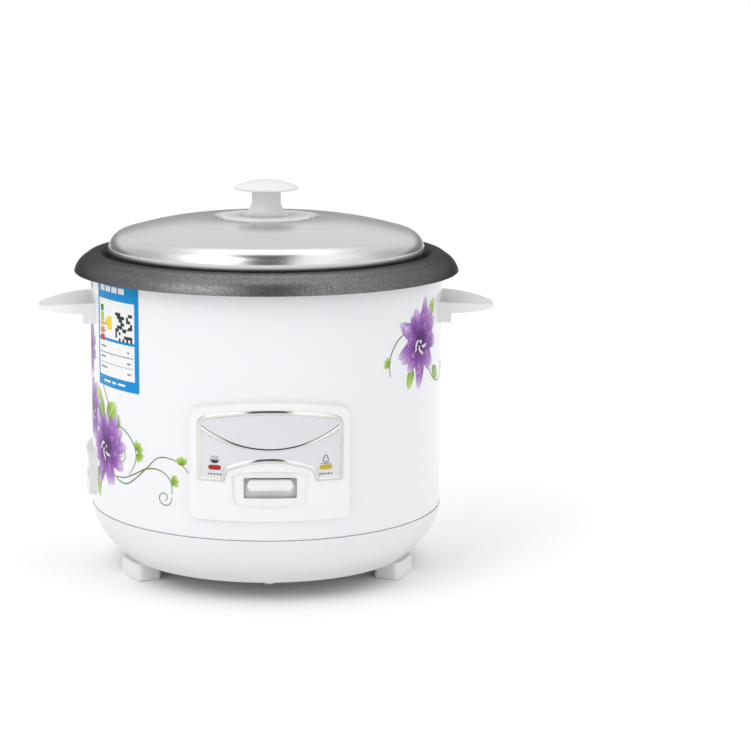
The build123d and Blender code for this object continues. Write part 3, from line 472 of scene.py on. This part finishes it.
def flower(art, centre, reach, turn, lift=0.09, squash=1.0):
    layers = (
        (OUTER, 9, 1.00, 0.40, 0.0),
        (OUTER, 7, 0.86, 0.40, 0.35),
        (MIDDLE, 8, 0.70, 0.34, 0.1),
        (MIDDLE, 7, 0.55, 0.30, 0.5),
        (INNER, 6, 0.38, 0.24, 0.2),
    )
    for level, (index, count, share, breadth, twist) in enumerate(layers):
        for k in range(count):
            angle = turn + twist + k * 2 * math.pi / count
            uneven = 1 + 0.13 * math.sin(k * 2.3 + level * 1.7)
            length = reach * share * uneven * (1 + (squash - 1) * abs(math.cos(angle)))
            bend = 0.22 * math.sin(k * 1.9 + level)
            root = (centre[0] + math.cos(angle) * reach * 0.05, centre[1] + math.sin(angle) * reach * 0.05)
            rise = lift + 0.022 * level + 0.002 * k
            art.petal(root, angle, length, reach * breadth, index, rise, bend)
    for k in range(11):
        angle = turn + 2.2 + k * 0.30
        away = reach * (0.10 + 0.045 * (k % 4))
        start = (centre[0] + math.cos(angle) * away, centre[1] + math.sin(angle) * away)
        art.petal(start, angle + 0.5, reach * 0.13, reach * 0.05, STAMEN, lift + 0.15)


def leaf(art, base, angle, length, width, bend=0.0, lift=0.05):
    art.petal(base, angle, length, width, LEAF, lift, bend, point=0.7)
    rib = []
    u, z = base
    for i in range(9):
        rib.append((u, z))
        heading = angle + bend * i / 9
        u += math.cos(heading) * length * 0.88 / 9
        z += math.sin(heading) * length * 0.88 / 9
    art.ribbon(rib, width * 0.06, VEIN, lift + 0.02, taper=True)


def bud(art, base, angle, size):
    for offset in (-0.7, 0.0, 0.7):
        art.petal(base, angle + offset, size, size * 0.62, LEAF, 0.075 + 0.004 * offset)


# Stems, as (angle, height) from the root to the tip.
STEMS = (
    (
        (-61, 66),
        (-56, 61.5),
        (-51, 60.8),
        (-46, 66),
        (-41.5, 72.5),
        (-37, 79),
        (-32, 79.5),
        (-28, 76.5),
        (-25.8, 72.8),
    ),
    ((-57, 63), (-52, 64), (-47, 67.5), (-42, 71.6), (-37.5, 72.6), (-34, 70.5), (-32, 66), (-31.8, 60)),
    ((-60, 90), (-56, 92), (-51, 89.5), (-47.6, 84), (-46.4, 78), (-47.5, 71.5), (-50, 66)),
    ((-66, 112), (-63, 105), (-60.5, 98), (-60, 90)),
    ((-79, 134), (-80, 146), (-77, 154), (-79, 163)),
    ((49, 145.5), (44.5, 142), (41.4, 135.5), (40.4, 129), (40.8, 122)),
    ((62, 124), (66, 116), (72, 112), (77, 114)),
)
for name, start_angle in (("front_spray", 0), ("back_spray", 180)):
    art = Print(SHELL_RADIUS)
    shift = arc(start_angle)

    def at(angle, height):
        return (arc(angle) + shift, height)

    for stem in STEMS:
        points = [at(angle, height) for angle, height in stem]
        art.ribbon(curve_through(points), 0.95, VINE, 0.06, taper=True)
    art.ribbon(curl(at(-34.6, 57.5), 4.9, 1.2, -1.25, 0.15), 0.75, VINE, 0.062, taper=True)
    art.ribbon(curl(at(-54.2, 76.5), 4.6, 1.0, 1.3, -1.6), 0.75, VINE, 0.062, taper=True)
    art.ribbon(curl(at(77, 118.0), 4.2, 1.0, 1.2, -1.4), 0.7, VINE, 0.062, taper=True)

    leaf(art, at(-66.5, 92), 1.85, 21, 10, 0.35)
    leaf(art, at(-62.5, 93), 1.05, 15, 11, -0.5)
    leaf(art, at(-58.5, 90), 0.75, 10, 9, 0.7, lift=0.055)
    leaf(art, at(-71.0, 64), -1.75, 18, 8, 0.4)
    leaf(art, at(-83, 118), 2.3, 15, 8, -0.5)
    leaf(art, at(62, 150), 0.7, 13, 7, 0.5)
    leaf(art, at(52, 124), -2.2, 12, 6.5, 0.5)
    leaf(art, at(66, 122), -0.9, 14, 7, 0.6)
    bud(art, at(-46.2, 81), 0.9, 5.5)
    bud(art, at(-45.6, 79), -0.9, 5.0)
    bud(art, at(-28.2, 77), 1.6, 4.8)
    bud(art, at(-31.8, 67), 0.2, 4.8)
    bud(art, at(-79, 163), 1.7, 4.5)
    bud(art, at(40.4, 129), 2.7, 4.6)

    flower(art, at(-82.5, 129), 17, 0.4, lift=0.06)
    flower(art, at(-78.0, 94), 19, 1.1, lift=0.07, squash=0.95)
    flower(art, at(-64.0, 77.5), 22.5, 0.15, lift=0.21, squash=0.95)
    flower(art, at(56.5, 138), 22.5, 0.55, squash=0.92)
    art.finish(name, "housing", FLOWER_INKS)

# ------------------------------------------------------------------ rating sticker
# A generic label: a blue border, a white field with a colour ladder, a pointer, a
# coarse check block and plain grey bars. It carries no writing.
sticker_blue = ink("sticker_blue", (0.001, 0.25, 0.58), 0.35)
sticker_white = ink("sticker_white", (0.80, 0.805, 0.81), 0.35)
sticker_grey = ink("sticker_grey", (0.22, 0.23, 0.25), 0.4)
sticker_dark = ink("sticker_dark", (0.03, 0.03, 0.035), 0.4)
ladder_green = ink("ladder_green", (0.02, 0.25, 0.06), 0.35)
ladder_lime = ink("ladder_lime", (0.36, 0.52, 0.03), 0.35)
ladder_yellow = ink("ladder_yellow", (0.80, 0.60, 0.02), 0.35)
ladder_orange = ink("ladder_orange", (0.75, 0.22, 0.02), 0.35)
ladder_red = ink("ladder_red", (0.50, 0.03, 0.02), 0.35)
LABEL_INKS = [sticker_blue, sticker_white, sticker_grey, sticker_dark]
LABEL_INKS += [ladder_green, ladder_lime, ladder_yellow, ladder_orange, ladder_red]
BLUE, PAPER, GREY, DARK, GREEN, LIME, YELLOW, ORANGE, RED = range(len(LABEL_INKS))

label = Print(SHELL_RADIUS)
left, right = arc(-69.0), arc(-44.6)
bottom, top = 112.3, 171.5
label.block((left, bottom), (right, top), BLUE, 0.24)
label.block((left + 2.0, bottom + 27.2), (right - 3.2, top - 10.5), PAPER, 0.27)
label.block((left + 2.0, bottom + 6.0), (right - 3.2, bottom + 25.6), PAPER, 0.27)
for i in range(4):
    start = left + 4.2 + i * 7.0
    label.block((start, top - 6.2), (start + 5.6, top - 3.0), PAPER, 0.29)
for i, shade in enumerate((GREEN, LIME, YELLOW, ORANGE, RED)):
    floor_z = top - 17.6 - i * 4.1
    label.block((left + 4.0, floor_z), (left + 8.2 + 0.25 * i, floor_z + 3.5), shade, 0.30)
pointer = [
    [(left + 11.0, top - 24.0, 0.30, 0, 0), (left + 11.0, top - 22.6, 0.30, 0, 1)],
    [(left + 13.2, top - 27.2, 0.30, 0, 0), (left + 13.2, top - 19.6, 0.30, 0, 1)],
    [(left + 18.0, top - 27.2, 0.30, 1, 0), (left + 18.0, top - 19.6, 0.30, 1, 1)],
]
label.sheet(pointer, YELLOW)
cell = 1.75
for row in range(9):
    for column in range(9):
        if (row * 5 + column * 7 + row * column * 3 + (row ^ column)) % 7 < 3:
            u = right - 20.6 + column * cell
            z = top - 16.5 - (row + 1) * cell
            label.block((u, z), (u + cell, z + cell), DARK, 0.30)
# Grey bars, as (height, start, end) from the label's lower left corner.
UPPER_BARS = ((30.6, 4, 11), (34.4, 4, 13), (36.6, 4, 9), (33.6, 24, 36), (29.6, 30, 36))
LOWER_BARS = ((21.6, 4, 11), (15.8, 4, 10), (10.0, 4, 12), (21.0, 33, 35), (15.0, 33, 36), (9.2, 33, 36))
for bars, thick in ((UPPER_BARS, 0.8), (LOWER_BARS, 1.0)):
    for height, start, end in bars:
        low_left = (left + start, bottom + height)
        label.block(low_left, (left + end, bottom + height + thick), GREY, 0.30)
label.block((left + 3.0, bottom + 18.6), (right - 4.2, bottom + 19.0), DARK, 0.30)
label.block((left + 3.0, bottom + 12.9), (right - 4.2, bottom + 13.2), GREY, 0.30)
for start, end in ((8, 16), (18, 22), (24, 31)):
    label.block((left + start, bottom + 2.4), (left + end, bottom + 3.6), PAPER, 0.29)
label.finish("rating_sticker", "housing", LABEL_INKS)

# ------------------------------------------------------------- panel trim and signs
# Crowned bright trims over the flat ones, following the same outlines.
def bend_through(a, b, c, steps=48):
    """Arc of (u, z) points from a through b to c."""
    ax, az, bx, bz, cx, cz = *a, *b, *c
    d = 2 * (ax * (bz - cz) + bx * (cz - az) + cx * (az - bz))
    a2, b2, c2 = ax * ax + az * az, bx * bx + bz * bz, cx * cx + cz * cz
    ox = (a2 * (bz - cz) + b2 * (cz - az) + c2 * (az - bz)) / d
    oz = (a2 * (cx - bx) + b2 * (ax - cx) + c2 * (bx - ax)) / d
    radius = math.hypot(ax - ox, az - oz)
    start, end = math.atan2(az - oz, ax - ox), math.atan2(cz - oz, cx - ox)
    if abs(end - start) > math.pi:
        end += math.copysign(2 * math.pi, start - end)
    line = []
    for i in range(steps + 1):
        angle = start + (end - start) * i / steps
        line.append((ox + radius * math.cos(angle), oz + radius * math.sin(angle)))
    return line


def across_panel(x, z):
    """(u, z) on the panel for a point seen straight from the front."""
    return (math.asin(x / INLAY_RADIUS) * INLAY_RADIUS, z)


def rounded(corner, before, after, radius, steps=8):
    """Points that round a corner between its two neighbours."""
    c = Vector(corner)
    a = (Vector(before) - c).normalized()
    b = (Vector(after) - c).normalized()
    half = a.angle(b) / 2
    reach = radius / math.tan(half)
    middle = c + (a + b).normalized() * (radius / math.sin(half))
    first, last = c + a * reach - middle, c + b * reach - middle
    start, end = math.atan2(first.y, first.x), math.atan2(last.y, last.x)
    if abs(end - start) > math.pi:
        end += math.copysign(2 * math.pi, start - end)
    points = []
    for i in range(steps + 1):
        angle = start + (end - start) * i / steps
        points.append((middle.x + radius * math.cos(angle), middle.y + radius * math.sin(angle)))
    return points


head = bend_through((-39.0, 105.0), (0.0, 109.5), (39.0, 105.0))
arch = bend_through((22.8, 76.2), (0.0, 81.1), (-22.8, 76.2))
outline = [p for p in head if abs(p[0]) < 34.2]
outline += rounded((39.0, 105.0), (34.0, 105.9), (39.0, 90.0), 5)
outline += rounded((39.0, 70.5), (39.0, 80.0), (30.0, 70.5), 1.0, 3)
outline += rounded((24.6, 70.5), (30.0, 70.5), (23.0, 75.6), 0.6, 3)
outline += arch
outline += rounded((-24.6, 70.5), (-23.0, 75.6), (-30.0, 70.5), 0.6, 3)
outline += rounded((-39.0, 70.5), (-30.0, 70.5), (-39.0, 80.0), 1.0, 3)
outline += rounded((-39.0, 105.0), (-39.0, 90.0), (-34.0, 105.9), 5)
outline.append(outline[0])

PROFILE = ((0.0, -0.4), (0.02, 0.02), (0.2, 0.26), (0.5, 0.36), (0.8, 0.26), (0.98, 0.02), (1.0, -0.12))
FRAME_WIDTH = 2.4
LEAN = 0.45
trim = Print(INLAY_RADIUS)
ring = outline[:-1]
rows = []
for i in range(len(ring) + 1):
    here = Vector(ring[i % len(ring)])
    before = Vector(ring[i % len(ring) - 1])
    after = Vector(ring[(i + 1) % len(ring)])
    come, go = (here - before).normalized(), (after - here).normalized()
    mean = (come + go).normalized()
    inward = Vector((mean.y, -mean.x)) / max(0.5, mean.dot(go))
    row = []
    for share, lift in PROFILE:
        spot = here + inward * (FRAME_WIDTH * share)
        lean = LEAN * (0.5 - share) * inward.y if lift > 0.1 else 0.0
        row.append((*across_panel(spot.x, spot.y), lift + lean, share, i / len(ring)))
    rows.append(row)
trim.sheet(rows, 0)
frame_trim = trim.finish("frame_trim", "housing", [chrome])
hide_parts("trim_frame")

band = Print(INLAY_RADIUS)
upper = bend_through((-37.2, 101.2), (0.0, 88.9), (37.2, 101.2))
lower = bend_through((-37.2, 97.6), (0.0, 87.5), (37.2, 97.6))
rows = []
for i, (high, low) in enumerate(zip(upper, lower)):
    row = []
    for share, lift in PROFILE:
        x = high[0] + (low[0] - high[0]) * share
        z = high[1] + (low[1] - high[1]) * share
        lean = LEAN * (share - 0.5) if lift > 0.1 else 0.0
        row.append((*across_panel(x, z), min(lift, 0.34) + lean, share, i / len(upper)))
    rows.append(row)
band.sheet(rows, 0)
band_trim = band.finish("band_trim", "housing", [chrome])
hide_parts("trim_band")

# Signs beside the lenses: a steaming bowl for cook, a flame for keep warm, and a row
# of dots under each.
sign_ink = ink("sign_ink", (0.03, 0.03, 0.035), 0.4)
FLAME = ((0, 80.6), (-1.5, 81.4), (-1.2, 82.9), (0.2, 84.6), (1.2, 82.8), (1.4, 81.4), (0, 80.6))
signs = Print(INLAY_RADIUS)
for side in (-1, 1):
    centre = math.radians(16.7) * side * INLAY_RADIUS
    for k in range(5):
        u = centre - 3.2 + k * 1.6
        signs.block((u - 0.4, 74.0), (u + 0.4, 74.9), 0, 0.03)
    if side < 0:
        bowl = []
        for i in range(13):
            angle = math.pi + math.pi * i / 12
            u = centre + 2.3 * math.cos(angle)
            bowl.append([(u, 81.9 + 1.5 * math.sin(angle), 0.03, 0, 0), (u, 81.95, 0.03, 0, 1)])
        signs.sheet(bowl, 0)
        signs.block((centre - 2.8, 82.1), (centre + 2.8, 82.45), 0, 0.03)
        for k in (-1, 0, 1):
            wave = [(centre + k * 1.4 + 0.22 * math.sin(j * 1.3), 82.9 + j * 0.22) for j in range(8)]
            signs.ribbon(wave, 0.36, 0, 0.03)
    else:
        flame = curve_through([(centre + across, height) for across, height in FLAME], 6)
        signs.ribbon(flame, 0.42, 0, 0.03)
        signs.block((centre - 2.6, 79.9), (centre + 2.6, 80.2), 0, 0.03)
signs.finish("panel_signs", "housing", [sign_ink])

# ------------------------------------------------------------------- level marks
# Raised level marks, inside the pot and showing through reversed on its outside:
# cups on one side of the line and litres on the other.
STROKES = {
    "0": (((0, 0), (0, 2), (1, 2), (1, 0), (0, 0)),),
    "1": (((0.5, 0), (0.5, 2)),),
    "2": (((0, 2), (1, 2), (1, 1), (0, 1), (0, 0), (1, 0)),),
    "4": (((0, 2), (0, 1), (1, 1)), ((1, 2), (1, 0))),
    "6": (((1, 2), (0, 2), (0, 0), (1, 0), (1, 1), (0, 1)),),
    "8": (((0, 0), (0, 2), (1, 2), (1, 0), (0, 0)), ((0, 1), (1, 1))),
    ".": (((0.2, 0), (0.45, 0)),),
}
pot_surface = BVHTree.FromObject(pot, bpy.context.evaluated_depsgraph_get())


def pot_wall(outside):
    """Radius of the pot's wall as a function of height, in millimetres."""

    def radius(z):
        if outside:
            hit = pot_surface.ray_cast(Vector((0.2, 0.001, z * MM)), Vector((-1, 0, 0)))[0]
        else:
            hit = pot_surface.ray_cast(Vector((0, 0.001, z * MM)), Vector((1, 0, 0)))[0]
        return hit.x / MM

    return radius


MARK_ANGLE = math.radians(-8)
LITRE_RISE = 45.5
for outside, material, lift in ((True, pot_aluminium, 0.02), (False, pot_coating, -0.02)):
    wall = pot_wall(outside)
    marks = Print(wall)
    middle = MARK_ANGLE * wall(120.0)
    way = -1 if outside else 1
    crown = 0.28 if outside else -0.28

    def line(points, width=0.7):
        marks.ribbon(points, width, 0, lift, crown)

    def number(text, u, z, size=2.6):
        for letter in text:
            for stroke in STROKES[letter]:
                path = [(u + way * (p[0] * size * 0.75), z + p[1] * size) for p in stroke]
                for a, b in zip(path, path[1:]):
                    line([a, b], 0.75)
            u += way * size * (0.75 if letter == "." else 1.25)

    line([(middle, 94.0 + k) for k in range(0, 55)], 0.8)
    for step in range(1, 7):
        z = 82.5 + LITRE_RISE * 0.2 * step
        reach = 6.0 if step % 2 == 0 else 3.5
        line([(middle, z), (middle + reach * 0.5, z), (middle + reach, z)])
        if step % 2 == 0:
            text = f"{0.2 * step:.1f}"
            start = middle + way * 9.0 if way > 0 else middle + 19.0
            number(text, start, z - 2.6)
    for cups in (2, 4, 6):
        z = 82.5 + LITRE_RISE * 0.2 * cups * 0.98
        line([(middle, z), (middle - 3.0, z), (middle - 6.0, z)])
        number(str(cups), middle - 10.5 if way > 0 else middle - 9.0, z - 2.6)
    marks.finish("marks_outside" if outside else "marks_inside", "inner_pot", [material])


# ------------------------------------------------------------------ magnet spring
# The spring shortens by the magnet's travel, so it is two coils that slide past each
# other: one stands on the magnet's cup, the wider one hangs from the sensor's cap.
WIRE_RADIUS = 0.35


def coil(name, body, radius, start, end, turns, around_wire=10, per_turn=32):
    mesh = bpy.data.meshes.new(name)
    shape = bmesh.new()
    rings = []
    for i in range(turns * per_turn + 1):
        angle = 2 * math.pi * i / per_turn
        rise = start + (end - start) * i / (turns * per_turn)
        ring = []
        for k in range(around_wire):
            turn = 2 * math.pi * k / around_wire
            out = radius + WIRE_RADIUS * math.cos(turn)
            place = (out * math.cos(angle), out * math.sin(angle), rise + WIRE_RADIUS * math.sin(turn))
            ring.append(shape.verts.new([value * MM for value in place]))
        rings.append(ring)
    for first, second in zip(rings, rings[1:]):
        for k in range(around_wire):
            j = (k + 1) % around_wire
            shape.faces.new((first[k], second[k], second[j], first[j]))
    shape.faces.new(rings[0])
    shape.faces.new(rings[-1][::-1])
    bmesh.ops.recalc_face_normals(shape, faces=shape.faces[:])
    for face in shape.faces:
        face.smooth = len(face.verts) == 4
    shape.to_mesh(mesh)
    shape.free()
    mesh.materials.append(zinc)
    piece = bpy.data.objects.new(name, mesh)
    bpy.context.scene.collection.objects.link(piece)
    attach(piece, body)
    return piece


lower_coil = coil("magnet_spring_lower", "magnet", 2.6, 65.2, 71.0, 3)
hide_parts("magnet_spring")
coil("magnet_spring_upper", "sensor", 3.6, 78.1, 71.2, 3)

# --------------------------------------------------------------------------- stage
def area_light(name, place, target, size, power, size_y=None, colour=(1, 1, 1)):
    data = bpy.data.lights.new(name, "AREA")
    data.energy = power
    data.color = colour
    data.size = size
    if size_y:
        data.shape = "RECTANGLE"
        data.size_y = size_y
    lamp = bpy.data.objects.new(name, data)
    lamp.location = place
    lamp.rotation_euler = (Vector(target) - Vector(place)).to_track_quat("-Z", "Y").to_euler()
    bpy.context.scene.collection.objects.link(lamp)
    return lamp


# White studio tent: brightest overhead and in front, dimmer at the sides and behind,
# with one dark gap straight ahead.
world = bpy.data.worlds.new("studio")
bpy.context.scene.world = world
world.use_nodes = True
tree = world.node_tree
background = tree.nodes["Background"]
background.inputs["Color"].default_value = (1, 1, 1, 1)


def world_node(kind, links=(), **settings):
    node = tree.nodes.new(kind)
    for key, value in settings.items():
        setattr(node, key, value)
    for own, source in links:
        if hasattr(source, "is_output"):
            tree.links.new(source, node.inputs[own])
        else:
            node.inputs[own].default_value = source
    return node


def between(value, low, high, to_low, to_high):
    node = world_node("ShaderNodeMapRange", [("Value", value)], interpolation_type="SMOOTHSTEP")
    for key, number_value in (("From Min", low), ("From Max", high), ("To Min", to_low), ("To Max", to_high)):
        node.inputs[key].default_value = number_value
    return node.outputs["Result"]


def combine(operation, a, b):
    return world_node("ShaderNodeMath", [(0, a), (1, b)], operation=operation).outputs["Value"]


sky = world_node("ShaderNodeTexCoord")
axes = world_node("ShaderNodeSeparateXYZ", [("Vector", sky.outputs["Generated"])])
x, y, z = axes.outputs["X"], axes.outputs["Y"], axes.outputs["Z"]
FRONT_LIGHT, BACK_LIGHT, TOP_LIGHT = 1.42, 0.93, 1.75
GAP_LIGHT = 0.03  # share of the light left in the dark gap
GAP_HAZE = 0.12  # more light in the gap near the horizon
SIDE_SHARE = 0.72  # share of the light left low down at the sides
LOW_BACK_LOSS = 0.75  # share of the light taken away behind, near the horizon


def dimmed(light, where, loss):
    """Light with a share of it taken away where the mask is 1."""
    return combine("MULTIPLY", light, combine("SUBTRACT", 1.0, combine("MULTIPLY", where, loss)))


width = combine("ABSOLUTE", x, 0.0)
round_about = between(y, 0.15, -0.25, BACK_LIGHT, FRONT_LIGHT)
overhead = between(z, 0.78, 0.94, 0.0, 1.0)
from_above = combine("MULTIPLY", overhead, TOP_LIGHT)
from_around = combine("MULTIPLY", combine("SUBTRACT", 1.0, overhead), round_about)
strength = combine("ADD", from_above, from_around)

low = between(z, 0.30, 0.55, 1.0, 0.0)
in_gap = combine("MULTIPLY", between(width, 0.18, 0.32, 1.0, 0.0), between(z, 0.06, 0.14, 0.0, 1.0))
in_gap = combine("MULTIPLY", in_gap, between(y, -0.10, -0.25, 0.0, 1.0))
gap_loss = combine("SUBTRACT", 1.0 - GAP_LIGHT, combine("MULTIPLY", low, GAP_HAZE))
strength = dimmed(strength, in_gap, gap_loss)

at_side = combine("MULTIPLY", between(width, 0.60, 0.88, 0.0, 1.0), between(z, 0.75, 0.50, 0.0, 1.0))
strength = dimmed(strength, at_side, 1.0 - SIDE_SHARE)

# Keeps the sides of the pot's flange dark. Cameras lower than about 10 degrees see it
# above the floor's far edge as a grey band.
low_back = combine("MULTIPLY", between(y, 0.30, 0.60, 0.0, 1.0), between(z, 0.25, 0.17, 0.0, 1.0))
strength = dimmed(strength, low_back, LOW_BACK_LOSS)
tree.links.new(strength, background.inputs["Strength"])

bpy.ops.mesh.primitive_plane_add(size=60, location=(0, 0, 0))
floor = bpy.context.object
floor.name = "floor"
paper = new_material("floor_paper", Base_Color=(0.97, 0.97, 0.97), Roughness=0.9, Specular_IOR_Level=0.2)
floor.data.materials.append(paper)

area_light("key", (-0.9, -0.9, 1.3), (0, 0, 0.12), 0.9, 5)
bpy.context.scene.view_settings.view_transform = "Standard"

# -------------------------------------------------------------------------- camera
CAMERA_DISTANCE = 1.2036
CAMERA_HEIGHT = 0.3374
CAMERA_AZIMUTH = -1.2
CAMERA_SHIFT = 0.1449  # the cooker stands left of the middle of the frame
CAMERA_TILT = 10.733
LENS = 102.3
around = math.radians(CAMERA_AZIMUTH)
camera_data = bpy.data.cameras.new("camera")
camera_data.lens = LENS
camera_data.sensor_width = 36
camera_data.clip_start = 0.05
camera_data.shift_x = CAMERA_SHIFT
camera = bpy.data.objects.new("camera", camera_data)
camera.location = (
    CAMERA_DISTANCE * math.sin(around),
    -CAMERA_DISTANCE * math.cos(around),
    CAMERA_HEIGHT,
)
heading = math.radians(CAMERA_AZIMUTH)
camera.rotation_euler = (math.radians(90 - CAMERA_TILT), 0, heading)
bpy.context.scene.collection.objects.link(camera)
bpy.context.scene.camera = camera
